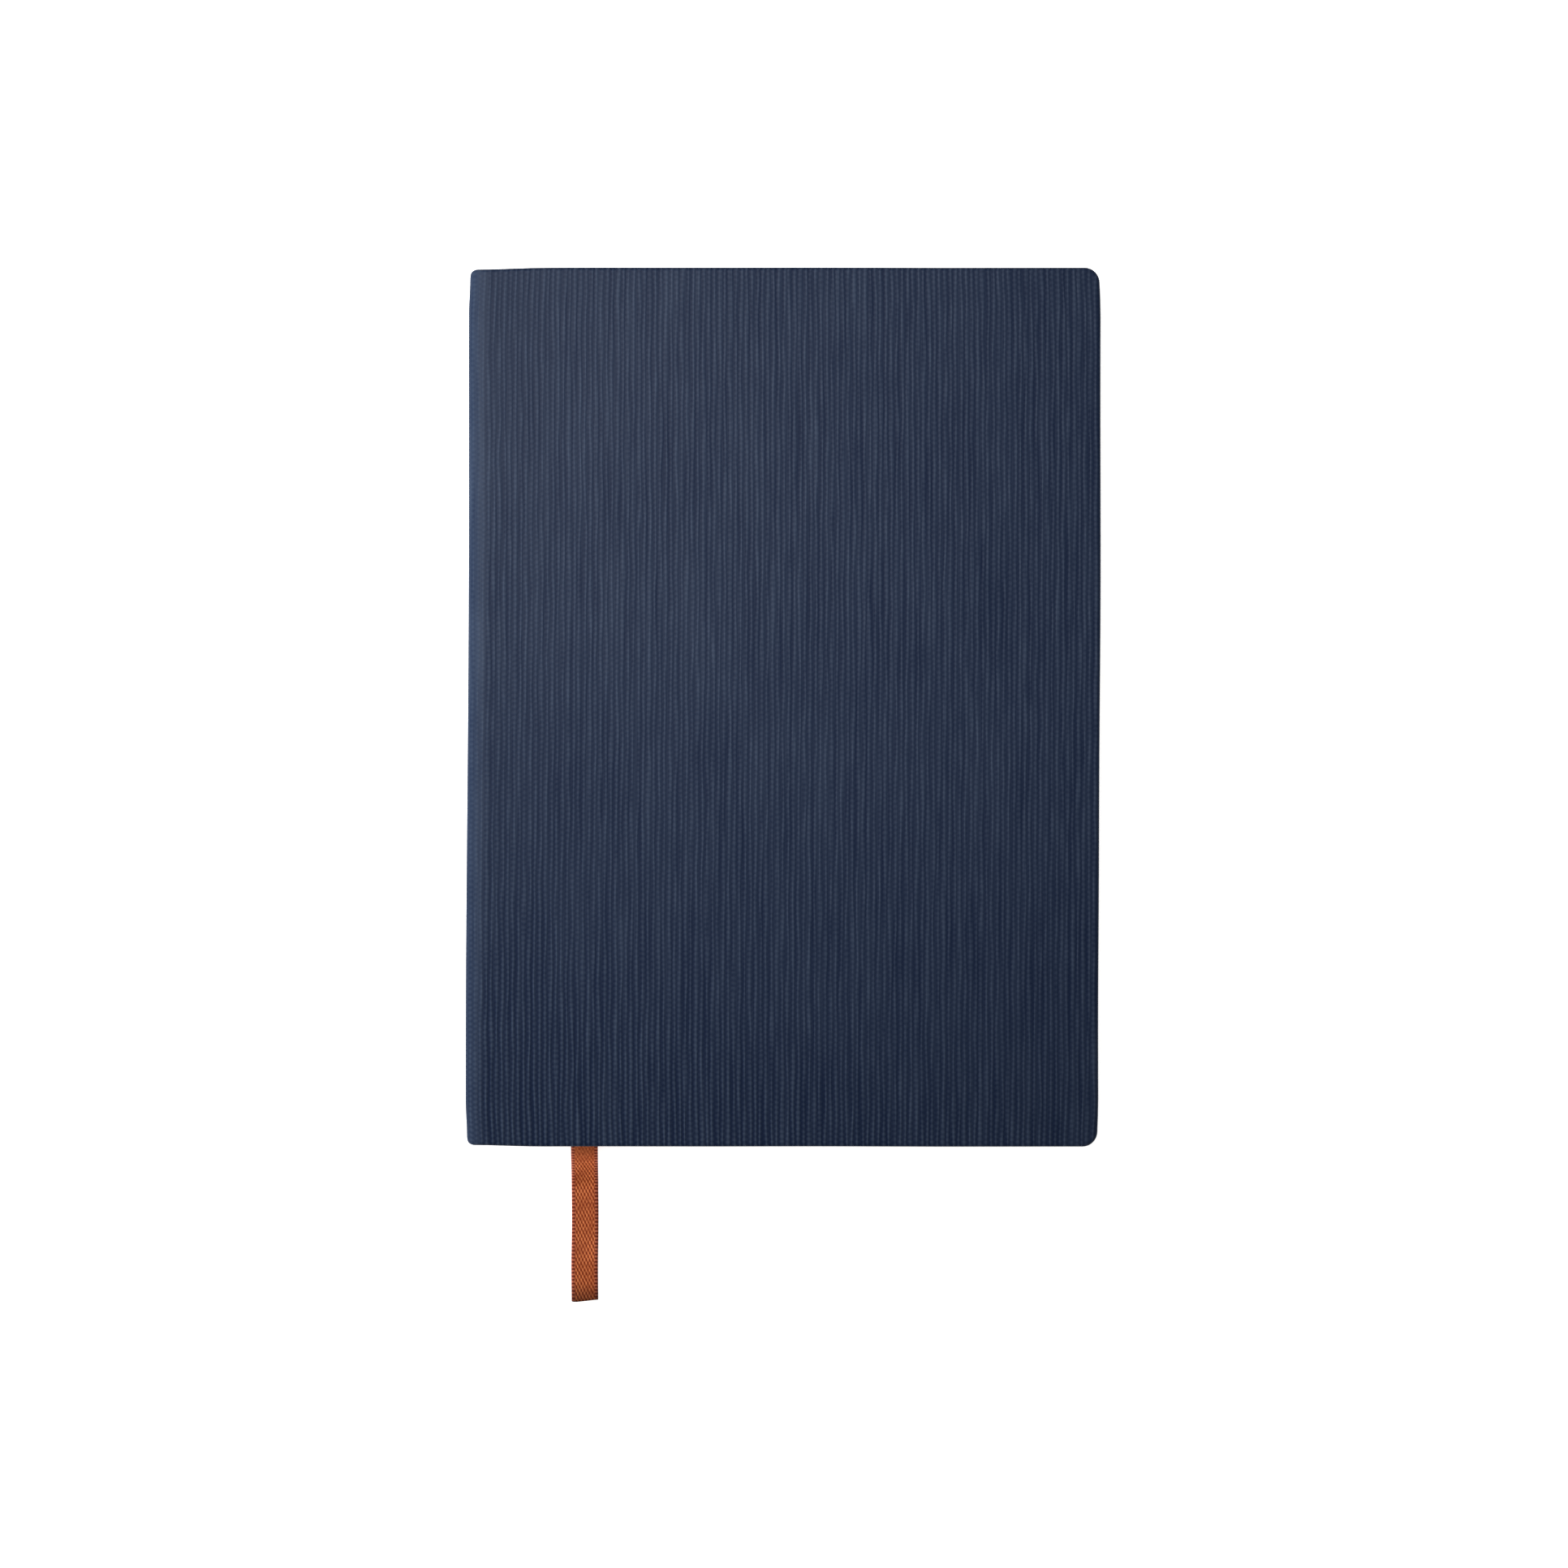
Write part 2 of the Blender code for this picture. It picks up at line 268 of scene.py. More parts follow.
# Each pair is the darker and the lighter colour that a material's pattern runs between
NAVY = (0.0012, 0.0060, 0.0225), (0.0375, 0.0530, 0.0850)
RUST = (0.142, 0.0165, 0.0025), (0.545, 0.158, 0.052)
LEDGER = (0.750, 0.710, 0.615), (0.800, 0.765, 0.675)
CREAM = (0.690, 0.625, 0.490), (0.760, 0.700, 0.570)
CUT_EDGE = (0.560, 0.510, 0.420), (0.860, 0.820, 0.730)
KRAFT = (0.230, 0.145, 0.080), (0.420, 0.290, 0.175)
GAUZE = (0.560, 0.510, 0.400), (0.760, 0.720, 0.620)
NAVY_AND_STRAW = (0.040, 0.050, 0.085), (0.620, 0.560, 0.420)
LINEN = (0.500, 0.450, 0.350), (0.820, 0.780, 0.680)
GREY_BOARD = (0.200, 0.180, 0.150), (0.380, 0.350, 0.300)
# Printed on the pages
BAND_TINT = (0.560, 0.640, 0.690)
INK = (0.180, 0.260, 0.370)

# Table on each page, in millimetres from the fold and from the page's middle
TABLE_COLUMNS = (9, 24, 41, 52, 63, 74, 85, 91, 97, 108, 119, 136)
TABLE_ROWS = (90, 82, 74, -72, -90)
TABLE_HEADING, TABLE_FOOTING = TABLE_ROWS[2] * MM, TABLE_ROWS[3] * MM
ROW_PITCH = 7.3 * MM
COLUMN_LINE = 0.20 * MM
TABLE_LINE = 0.32 * MM
ROW_LINE = 0.16 * MM

# Stretches over which the ribbon's look changes, as distances from its root at the head
# Up to here, inside the book, the ribbon has painted shade
COMES_OUT = (198.5 * MM, 202.0 * MM)
TWILL_APPEARS = (203.5 * MM, 210.0 * MM)
# Over this stretch the painted highlight past the edge of the pages fades out
EXIT_HIGHLIGHT_FADES = (204.5 * MM, 216.5 * MM)
# Over this stretch the ribbon turns darker toward its cut end
DARKER_END = (236.5 * MM, 241.5 * MM)


class Shader:
    """A material's node tree, with short ways to add the nodes it needs."""

    def __init__(self, name, roughness, specular, sheen=0.0):
        self.material = bpy.data.materials.new(name)
        self.material.use_nodes = True
        self.nodes, self.links = self.material.node_tree.nodes, self.material.node_tree.links
        self.principled = self.nodes["Principled BSDF"]
        self.principled.inputs["Roughness"].default_value = roughness
        self.principled.inputs["Specular IOR Level"].default_value = specular
        self.principled.inputs["Sheen Weight"].default_value = sheen
        self.principled.inputs["Sheen Roughness"].default_value = 0.5
        self.principled.inputs["Sheen Tint"].default_value = (1, 1, 1, 1)

    def put(self, socket, value):
        if hasattr(value, "is_linked"):
            self.links.new(value, socket)
        else:
            socket.default_value = value

    def math(self, operation, *values, clamp=False):
        node = self.nodes.new("ShaderNodeMath")
        node.operation, node.use_clamp = operation, clamp
        for socket, value in zip(node.inputs, values):
            self.put(socket, value)
        return node.outputs[0]

    def total(self, *values):
        return reduce(lambda a, b: self.math("ADD", a, b), values)

    def product(self, *values):
        return reduce(lambda a, b: self.math("MULTIPLY", a, b), values)

    def centred(self, value):
        """A value from 0 to 1, moved to lie between -0.5 and 0.5."""
        return self.math("SUBTRACT", value, 0.5)

    def rest_of(self, value):
        return self.math("SUBTRACT", 1.0, value)

    def clamped(self, value):
        return self.math("ADD", value, 0.0, clamp=True)

    def wave(self, value, turns=1.0):
        """A cosine with so many turns for each 1 of the value."""
        return self.math("COSINE", self.math("MULTIPLY", value, 2 * pi * turns))

    def uv(self):
        split = self.nodes.new("ShaderNodeSeparateXYZ")
        self.put(split.inputs[0], self.nodes.new("ShaderNodeUVMap").outputs[0])
        return split.outputs[0], split.outputs[1]

    def point(self, x, y, z=0.0):
        node = self.nodes.new("ShaderNodeCombineXYZ")
        for socket, value in zip(node.inputs, (x, y, z)):
            self.put(socket, value)
        return node.outputs[0]

    def noise(self, vector, scale=1.0, detail=2.0, roughness=0.5):
        node = self.nodes.new("ShaderNodeTexNoise")
        self.put(node.inputs["Vector"], vector)
        node.inputs["Scale"].default_value = scale
        node.inputs["Detail"].default_value = detail
        node.inputs["Roughness"].default_value = roughness
        return node.outputs["Fac"]

    def spread(self, value, low, high, to_low=0.0, to_high=1.0):
        """Moves smoothly from one value to another as the input goes from low to high."""
        node = self.nodes.new("ShaderNodeMapRange")
        node.interpolation_type = "SMOOTHSTEP"
        self.put(node.inputs["Value"], value)
        node.inputs["From Min"].default_value = low
        node.inputs["From Max"].default_value = high
        node.inputs["To Min"].default_value = to_low
        node.inputs["To Max"].default_value = to_high
        return node.outputs["Result"]

    def mix(self, factor, low, high, blend="MIX"):
        node = self.nodes.new("ShaderNodeMix")
        node.data_type, node.blend_type = "RGBA", blend
        self.put(node.inputs["Factor"], factor)
        for socket, colour in ((node.inputs[6], low), (node.inputs[7], high)):
            self.put(socket, colour if hasattr(colour, "is_linked") else (*colour, 1))
        return node.outputs[2]

    def bump(self, height, distance, strength):
        node = self.nodes.new("ShaderNodeBump")
        node.inputs["Strength"].default_value = strength
        node.inputs["Distance"].default_value = distance
        self.put(node.inputs["Height"], height)
        self.put(self.principled.inputs["Normal"], node.outputs[0])

    def colour(self, value):
        self.put(self.principled.inputs["Base Color"], value)
        return self.material


def cloth_material():
    """Navy cloth with upright ribs, each of them a row of small floats that sit between its neighbours'."""
    s = Shader("book_cloth", roughness=0.5, specular=0.10)
    m = s.math
    u, v = s.uv()
    across, along = m("DIVIDE", u, RIB_PITCH), m("DIVIDE", v, RIB_PITCH)

    def uneven(per_rib, per_float, seed, detail):
        """Noise with so many changes for each rib, and for each float along it."""
        place = s.point(m("MULTIPLY", across, per_rib), m("MULTIPLY", along, per_float), seed)
        return s.centred(s.noise(place, detail=detail))

    rib_at = s.total(across, s.product(uneven(0.8, 0.07, seed=0.0, detail=1.0), 0.9))
    float_at = s.total(along, s.product(uneven(0.5, 0.5, seed=5.0, detail=1.0), 0.6))
    # A rib's crest is narrower than the groove beside it
    crest = m("POWER", s.total(s.product(s.wave(rib_at), 0.5), 0.5), 1.5)
    rib = m("SUBTRACT", s.product(crest, 2.2), 0.93)
    floats = s.product(s.wave(rib_at, 0.5), s.wave(float_at))
    # Yarns differ from one another, and each grows thicker and thinner along its run
    yarn = uneven(1.15, 0.032, seed=9.0, detail=2.0)
    slub = uneven(1.7, 0.16, seed=13.0, detail=2.0)
    fibre = uneven(5.0, 2.5, seed=17.0, detail=1.0)
    cloud = s.centred(s.noise(s.point(u, v), scale=30.0, detail=2.0))
    # The ribs stand out more toward the tail of the spine
    proud = s.spread(s.total(v, s.product(u, 0.4)), -125 * MM, -50 * MM, 1.6, 1.0)
    # Over the shoulder of the spine a painted highlight: paler cloth, with flatter ribs
    shoulder_highlight = s.product(s.spread(u, -79.0 * MM, -74.5 * MM), s.spread(u, -70.6 * MM, -67.8 * MM, 1.0, 0.0))
    shoulder_highlight = s.product(shoulder_highlight, s.total(s.product(cloud, 1.5), 1.0))
    flat = s.rest_of(s.product(shoulder_highlight, 0.65))
    relief = s.product(rib, s.total(s.product(slub, 1.6), 0.6), s.product(proud, flat))
    weights = [
        (relief, 0.205),
        (s.wave(rib_at, 2.0), 0.015),
        (s.product(floats, proud), 0.085),
        (yarn, 0.44),
        (slub, 0.31),
        (fibre, 0.12),
        (cloud, 0.10),
        # The painted highlight over the shoulder of the spine
        (shoulder_highlight, 0.17),
    ]
    base_share = 0.20
    share = s.total(base_share, *(s.product(pattern, weight) for pattern, weight in weights))
    height = s.total(s.product(relief, 0.5), s.product(floats, 0.25), s.product(yarn, 0.8))
    s.bump(height, 0.09 * MM, 0.6)
    return s.colour(s.mix(s.clamped(share), *NAVY))


def ribbon_material():
    """Rust twill: rows of short upright floats, each row set half a float aside, between ribbed selvages."""
    s = Shader("marker_ribbon", roughness=0.55, specular=0.12)
    m = s.math
    u, v = s.uv()  # u runs across from the middle, v along from the root
    bend = s.centred(s.noise(s.point(u, v), scale=160.0, detail=1.0))
    across = s.total(m("DIVIDE", u, 0.78 * MM), s.product(bend, 0.5))
    row = s.total(m("DIVIDE", v, 1.60 * MM), s.product(bend, 0.3))
    # Floats line up in a strong diagonal one way and a weak one the other way
    twill, cross = s.wave(m("SUBTRACT", across, row)), s.wave(m("ADD", across, row))
    dot = s.total(s.product(twill, 0.62), s.product(cross, 0.38))
    patches = s.noise(s.point(u, v), scale=230.0, detail=2.0)
    strength = s.product(s.spread(patches, 0.36, 0.62, 0.45, 1.0), s.spread(v, *TWILL_APPEARS, 0.35, 1.0))
    half = RIBBON_WIDTH / 2
    selvage = s.spread(m("ABSOLUTE", u), half - 0.95 * MM, half - 0.65 * MM)
    ribs = s.wave(v, 1 / (0.85 * MM))
    pattern = s.total(s.product(dot, strength, s.rest_of(selvage)), s.product(ribs, selvage, 0.75))
    fibre = s.centred(s.noise(s.point(s.product(u, 1.5), v), scale=1400.0, detail=1.0))
    weights = [(pattern, 0.85), (fibre, 0.9), (s.centred(patches), 0.5)]
    base_share = 0.36
    share = s.total(base_share, *(s.product(part, weight) for part, weight in weights))
    s.bump(pattern, 0.05 * MM, 0.6)
    body = s.mix(s.clamped(share), *RUST)
    # Painted shade inside the book, and a painted highlight for a few millimetres past the edge of the pages,
    # where the covers shade the ribbon; darker again over the last few millimetres to the cut end
    exit_highlight = s.mix(s.spread(v, *EXIT_HIGHLIGHT_FADES), (1.70, 1.65, 1.60), (1, 1, 1))
    tones = [
        s.mix(s.spread(v, *COMES_OUT), (0.62, 0.62, 0.62), exit_highlight),
        s.mix(selvage, (1, 1, 1), (0.70, 0.66, 1.05)),
        s.mix(s.spread(v, *DARKER_END), (1, 1, 1), (0.42, 0.42, 0.42)),
    ]
    for tone in tones:
        body = s.mix(1.0, body, tone, "MULTIPLY")
    return s.colour(body)


def lines_at(s, value, pitch, width, offset=0.0):
    """1 on thin lines at each pitch."""
    m = s.math
    turns = m("DIVIDE", m("SUBTRACT", value, offset), pitch)
    off_line = s.centred(m("FRACT", s.total(turns, 0.5)))
    return m("LESS_THAN", m("ABSOLUTE", off_line), width / (2 * pitch))


def line_at(s, value, place, width):
    """1 on one thin line."""
    return s.math("LESS_THAN", s.math("ABSOLUTE", s.math("SUBTRACT", value, place)), width / 2)


def paper_colour(s, fleck, base):
    u, v = s.uv()
    cloud = s.noise(s.point(u, v), scale=60.0, detail=4.0)
    fibre = s.noise(s.point(u, v), scale=2600.0, detail=3.0, roughness=0.7)
    share = s.total(s.product(cloud, 0.5), s.product(fibre, 0.5))
    s.bump(fibre, 0.02 * MM, 0.5)
    return s.mix(s.spread(share, 0.3, 0.7), fleck, base)


def page_material():
    """Ledger paper ruled as a blank flight table: a frame, rows, columns and tinted bands."""
    s = Shader("ruled_page", roughness=0.9, specular=0.2)
    m = s.math
    u, v = s.uv()
    paper = paper_colour(s, *LEDGER)
    left, right = TABLE_COLUMNS[0] * MM, TABLE_COLUMNS[-1] * MM
    inside = s.product(m("GREATER_THAN", u, left), m("LESS_THAN", u, right))
    inside = s.product(inside, m("LESS_THAN", m("ABSOLUTE", v), TABLE_ROWS[0] * MM))
    heading = m("GREATER_THAN", v, TABLE_HEADING)
    footing = m("LESS_THAN", v, TABLE_FOOTING)
    rules = [s.product(lines_at(s, v, ROW_PITCH, ROW_LINE, TABLE_HEADING), s.rest_of(heading))]
    rules += [line_at(s, v, y * MM, TABLE_LINE) for y in TABLE_ROWS]
    rules += [line_at(s, u, x * MM, COLUMN_LINE) for x in TABLE_COLUMNS]
    ink = s.product(reduce(lambda a, b: m("MAXIMUM", a, b), rules), inside)
    band = s.product(m("MAXIMUM", heading, footing), inside, 0.55)
    tinted = s.mix(band, paper, BAND_TINT)
    return s.colour(s.mix(s.product(ink, 0.75), tinted, INK))


def endpaper_material():
    s = Shader("endpaper", roughness=0.88, specular=0.2)
    return s.colour(paper_colour(s, *CREAM))


def page_edge_material():
    s = Shader("page_edges", roughness=0.95, specular=0.1)
    u, v = s.uv()  # u differs from leaf to leaf, v runs along the edge
    grain = s.noise(s.point(s.product(u, 37.0), s.product(v, 900.0)), detail=3.0)
    return s.colour(s.mix(grain, *CUT_EDGE))


def mull_material():
    """Open gauze glued over brown kraft."""
    s = Shader("mull_on_kraft", roughness=0.9, specular=0.2)
    u, v = s.uv()
    pitch, width = 0.8 * MM, 0.26 * MM
    threads = s.math("MAXIMUM", lines_at(s, u, pitch, width), lines_at(s, v, pitch, width))
    fibre = s.noise(s.point(u, v), scale=1500.0, detail=3.0)
    s.bump(threads, 0.12 * MM, 0.6)
    return s.colour(s.mix(threads, s.mix(fibre, *KRAFT), s.mix(fibre, *GAUZE)))


def thread_material(name, pitch, slope, colours):
    """Twisted or wrapped thread: fine stripes round it."""
    s = Shader(name, roughness=0.6, specular=0.35, sheen=0.3)
    u, v = s.uv()
    phase = s.math("DIVIDE", s.total(u, s.product(v, slope)), pitch)
    stripe = s.math("SINE", s.product(phase, 2 * pi))
    fibre = s.noise(s.point(u, v), scale=4000.0, detail=2.0)
    share = s.total(s.product(stripe, 0.35), s.product(fibre, 0.3), 0.35)
    s.bump(stripe, 0.05 * MM, 0.7)
    return s.colour(s.mix(s.clamped(share), *colours))


def board_material():
    s = Shader("grey_board", roughness=0.95, specular=0.1)
    node = s.nodes.new("ShaderNodeTexCoord")
    fibre = s.noise(node.outputs["Object"], scale=900.0, detail=4.0)
    return s.colour(s.mix(fibre, *GREY_BOARD))


# ---------------------------------------------------------------- cover cloth


def edge_profile():
    """(inset, depth, inset on the flat cloth) from the middle of a cover out and round to its turn-in."""
    # Rows on the flat, in millimetres from the edge and closer together toward it
    insets = [92, 82, 72, 62, 52, 43, 35, 28, 22, 17, 13, 10, 7.5, 5.6, 4.2, 3.2, 2.4, 1.8, 1.3]
    profile = [(HALF_HEIGHT, 0.0)] + [(inset * MM, 0.0) for inset in insets]
    for a in quarter_turn(6):
        profile.append((EDGE_RADIUS * (1 - sin(a)), EDGE_RADIUS * (1 - cos(a))))
    for a in quarter_turn(6):
        profile.append((INNER_EDGE_RADIUS * (1 - cos(a)), COVER - INNER_EDGE_RADIUS * (1 - sin(a))))
    profile += [(inset, COVER) for inset in (1.3 * MM, 2.4 * MM, 6 * MM, TURN_IN)]
    profile.append((TURN_IN, COVER - TURN_IN_CLOTH))
    return [(inset, depth, HALF_HEIGHT - run) for (inset, depth), run in zip(profile, run_lengths(profile))]


PROFILE = edge_profile()


def u_outline(inset, radius):
    """Head edge, fore edge and tail edge of a cover, from the shoulder round and back to it."""
    x1, y1 = HALF_WIDTH - inset, HALF_HEIGHT - inset
    radius = max(radius, 0.02 * MM)
    turn_x, turn_y = x1 - radius, y1 - radius
    points = [(x, y1) for x in levels_between(JOIN_X, turn_x, 40)[:-1]]
    points += [(turn_x + radius * sin(a), turn_y + radius * cos(a)) for a in quarter_turn(10)]
    points += [(x1, y) for y in levels_between(turn_y, 0.0, 25)[1:]]
    return points + [(x, -y) for x, y in points[-2::-1]]


def soften(x, y, z, inset):
    """The cloth's small unevenness: edges that wave, corners that draw in, a book that isn't quite square."""
    near_edge = 1 - ramp(inset, 0.0, 16 * MM)
    down = 0.5 - y / (2 * HALF_HEIGHT)  # 0 at the head and 1 at the tail
    spineward = min(max(-x / HALF_WIDTH, 0.0), 1.0)
    dx = LEAN_HEAD - LEAN * ramp(down, 0.25, 0.90) - FLARE * ramp(down, 0.4, 0.9) * spineward
    dx += WAVE * wander(0.3, y, 0.0, 45 * MM) * near_edge
    # Both sides draw in a little toward the corners
    dx -= CORNER_PINCH * ramp(abs(y), HALF_HEIGHT - 11 * MM, HALF_HEIGHT) * x / HALF_WIDTH
    dy = WAVE * wander(x, 0.7, 0.0, 40 * MM) * near_edge
    # Toward the spine the head and the tail draw in
    past = min(max(SPINE_X + SPINE_CORNER - x, 0.0), SPINE_CORNER)
    draw = 0.8 * (SPINE_CORNER - (SPINE_CORNER**2 - past**2) ** 0.5) + SPINE_DRAW * ramp(-x, 55 * MM, 71 * MM)
    dy -= copysign(draw * ramp(abs(y), HALF_HEIGHT - 14 * MM, HALF_HEIGHT), y)
    # Both faces sink toward the middle, and the level right at the middle goes with the back
    outward = 1 if z > MIDDLE + ROUNDING else -1
    sag = SAG * (wander(x, y, 0.2, 30 * MM) - 1) + RIPPLE * wander(x, y, 0.5, 8 * MM)
    return x + dx, y + dy, z + outward * sag


def shoulder_path():
    """(x, z, inward x, inward z, sheet's thickness) down the front cover's shoulder to the spine."""
    path = [(JOIN_X, THICKNESS, 0.0, -1.0, COVER)]
    steps = 14
    for step, a in enumerate(quarter_turn(steps)[1:], 1):
        x, z = JOIN_X - SHOULDER_WIDTH * sin(a), THICKNESS - SHOULDER_DEPTH * (1 - cos(a))
        nx, nz = sin(a) / SHOULDER_WIDTH, cos(a) / SHOULDER_DEPTH
        size = hypot(nx, nz)
        thick = COVER + (SPINE_SHEET - COVER) * smooth_step(step / steps)
        path.append((x, z, nx / size, -nz / size, thick))
    path.append((SPINE_X, STEADY[-1], 1.0, 0.0, SPINE_SHEET))
    return path


SHOULDER = shoulder_path()
SHOULDER_RUNS = run_lengths([(x, z) for x, z, *_ in SHOULDER])


def cross_row(place, run, mirror):
    """Points and UVs across the book's height at one place on the wrap, outer face, edge and turn-in."""
    x, z, nx, nz, thick = place
    points, uvs = [], []
    for sign in (1, -1):
        row = PROFILE[::-1] if sign == 1 else PROFILE
        for inset, depth, flat in row:
            inward = depth * thick / COVER
            y = sign * (HALF_HEIGHT - inset)
            px, py, pz = soften(x + nx * inward, y, z + nz * inward, inset)
            points.append((px, py, THICKNESS - pz if mirror else pz))
            uvs.append((JOIN_X - run, sign * (HALF_HEIGHT - flat)))
    return points, uvs


def make_cover_cloth(word, material):
    """One cover's cloth, turned-in edges and shoulder, as one sheet. The back mirrors the front."""
    mirror = word == "back"
    builder = Builder()
    rings, uvs = [], []
    for inset, depth, flat in PROFILE:
        outline = u_outline(inset, FORE_CORNER - inset)
        ring = [soften(x, y, THICKNESS - depth, inset) for x, y in outline]
        rings.append([(x, y, THICKNESS - z if mirror else z) for x, y, z in ring])
        uvs.append(u_outline(flat, FORE_CORNER - flat))
    builder.grid(rings, uvs, flip=mirror)
    rows = [cross_row(place, run, mirror) for place, run in zip(SHOULDER, SHOULDER_RUNS)]
    builder.grid([points for points, _ in rows], [uv for _, uv in rows], flip=not mirror)
    obj = builder.finish(f"{word}_cover_cloth", [material], weld=CLOTH_WELD)
    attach(obj, f"{word}_cover")
    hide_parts(f"{word}_cloth")


def bulge(z):
    """The spine stands out a little at the middle of its height."""
    return SPINE_BULGE * (1 - ((z - MIDDLE) / (MIDDLE - SPINE_FLAT)) ** 2)


def make_spine_cloth(index, material):
    """The part of the spine's cloth that bends at one joint."""
    _, _, low, high = JOINTS[index]
    rows = []
    for z in levels_between(high, low, 20 if index == MIDDLE_JOINT else 6):
        place = (SPINE_X - bulge(z), z, 1.0, 0.0, SPINE_SHEET)
        rows.append(cross_row(place, SHOULDER_RUNS[-1] + STEADY[-1] - z, False))
    builder = Builder()
    builder.grid([points for points, _ in rows], [uv for _, uv in rows], flip=True)
    obj = builder.finish(f"spine_cloth_{index}", [material], weld=CLOTH_WELD)
    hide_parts("spine_cloth")
    bend_at(obj)


# ---------------------------------------------------------------- leaves


def corner_xs(fore):
    """Places from a leaf's fore edge across its round corners."""
    return [fore - PAGE_CORNER * (1 - cos(a)) for a in quarter_turn(6)]


def leaf_reach(x, trim):
    """Half height of a leaf at x, with its fore corners cut round."""
    over = min(max(x - (BLOCK_X1 - trim - PAGE_CORNER), 0.0), PAGE_CORNER)
    return BLOCK_Y - trim - (PAGE_CORNER - (PAGE_CORNER**2 - over**2) ** 0.5)


def add_leaf(builder, path, seed, trim, thickness=LEAF):
    """A sheet of paper that follows a path of (x, z) from its fore edge, as a thin closed solid."""
    rows = 10
    count = len(path)
    normals = []
    for i in range(count):
        (x0, z0), (x1, z1) = path[max(i - 1, 0)], path[min(i + 1, count - 1)]
        size = hypot(x1 - x0, z1 - z0)
        normals.append((-(z1 - z0) / size, (x1 - x0) / size))
    shares = levels_between(1, -1, rows)
    for face in (1, -1):
        off = face * thickness / 2
        points, uvs = [], []
        for (x, z), (nx, nz) in zip(path, normals):
            reach = leaf_reach(x, trim)
            points.append([(x + off * nx, reach * share, z + off * nz) for share in shares])
            uvs.append([(x - BLOCK_X0, reach * share) for share in shares])
        builder.grid(points, uvs, flip=face == 1)
    # The cut edges: head, fore edge and tail
    stations = [(x, leaf_reach(x, trim), z, nx, nz) for (x, z), (nx, nz) in zip(path, normals)]
    x, reach, z, nx, nz = stations[0]
    rim = stations[::-1]
    rim += [(x, reach * share, z, nx, nz) for share in shares[1:-1]]
    rim += [(x, -y, z, nx, nz) for x, y, z, nx, nz in stations]
    points = [
        [(x + face * nx * thickness / 2, y, z + face * nz * thickness / 2) for x, y, z, nx, nz in rim]
        for face in (1, -1)
    ]
    runs = run_lengths([(x, y) for x, y, *_ in rim])
    uvs = [[(seed + 0.02 * face, run) for run in runs] for face in (1, -1)]
    builder.grid(points, uvs, material=1, smooth=False)


def half_sheets(builder, number, upper):
    """The upper or the lower leaves of a signature, each up to the middle of its fold."""
    low, high = signature_levels(number)
    middle, half = (low + high) / 2, (high - low) / 2
    fold_x = BLOCK_X0 + half
    side = 1 if upper else -1
    for sheet in range(SHEETS):
        radius = half * (1 - (sheet + 0.5) / SHEETS)
        seed = number + 0.11 * sheet + (0.5 if upper else 0.0)
        trim = LEAF_TRIM * (1 + wander(seed, 3.1, 0.0, 0.37))
        fore = BLOCK_X1 - trim
        xs = corner_xs(fore)
        xs += [fore + (fold_x - fore) * t for t in (0.1, 0.25, 0.4, 0.55, 0.7, 0.85, 0.95)]
        path = [(x, middle + side * radius + LEAF_WAVE * wander(x, seed, 0.0, 30 * MM)) for x in xs]
        path += [(fold_x - radius * sin(a), middle + side * radius * cos(a)) for a in quarter_turn(5)]
        add_leaf(builder, path, seed, trim)


def make_leaves(name, halves, materials, body=None):
    """Facing halves of signatures, which ride on one body or fan out at one joint."""
    builder = Builder()
    for number, upper in halves:
        half_sheets(builder, number, upper)
    obj = builder.finish(name, materials)
    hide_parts(*[f"signature_{number}" for number, _ in halves])
    if body:
        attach(obj, body)
    else:
        bend_at(obj)


def make_flyleaf(word, index, z, materials):
    builder = Builder()
    xs = corner_xs(BLOCK_X1)
    xs += [BLOCK_X1 + (BLOCK_X0 - BLOCK_X1) * t for t in (0.1, 0.3, 0.5, 0.7, 0.9, 0.99, 1.0)]
    add_leaf(builder, [(x, z) for x in xs], seed=0.2 + index, trim=0.0, thickness=FLYLEAF)
    obj = builder.finish(f"{word}_flyleaf_sheet", materials)
    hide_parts(f"{word}_flyleaf")
    bend_at(obj)


# ---------------------------------------------------------------- spine, inside


def lining_levels(index, steps):
    """Levels of the lining and the bands over one joint, which end short of the covers."""
    _, _, low, high = JOINTS[index]
    return levels_between(max(low, LINING_Z), min(high, THICKNESS - LINING_Z), steps)


def make_mull(index, material):
    """The gauze and kraft lining on the folds, where it bends at one joint."""
    inner, outer = LINING_X
    reach = LINING_REACH
    ring = [(inner, reach), (inner, 0.0), (inner, -reach), (outer, -reach), (outer, 0.0), (outer, reach)]
    levels = lining_levels(index, 20 if index == MIDDLE_JOINT else 5)
    builder = Builder()
    builder.grid([[(x, y, z) for x, y in ring] for z in levels], [[(z, y) for _, y in ring] for z in levels])
    obj = builder.finish(f"mull_{index}", [material], recalc=True)
    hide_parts("spine_mull", "spine_lining")
    bend_at(obj)


def make_bands(index, material):
    """Head and tail band, wound with thread, where they bend at one joint."""
    around = 14
    angles = [2 * pi * k / around for k in range(around)]
    builder = Builder()
    for sign in (1, -1):
        rings, uvs = [], []
        for z in lining_levels(index, 24 if index == MIDDLE_JOINT else 12):
            groove = 0.5 - 0.5 * cos(2 * pi * (z - LINING_Z) / BAND_WRAP)
            radius = BAND_RADIUS - BAND_GROOVE * groove
            rings.append([(BAND_X + radius * cos(a), sign * BAND_Y + radius * sin(a), z) for a in angles])
            uvs.append([(z, radius * a) for a in angles])
        rows = builder.grid(rings, uvs, closed=True)
        if index == 0:
            builder.cap(rows[0], uvs[0], flip=True)
        if index == len(JOINTS) - 1:
            builder.cap(rows[-1], uvs[-1])
    obj = builder.finish(f"bands_{index}", [material], recalc=True)
    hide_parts("head_band", "tail_band")
    bend_at(obj)


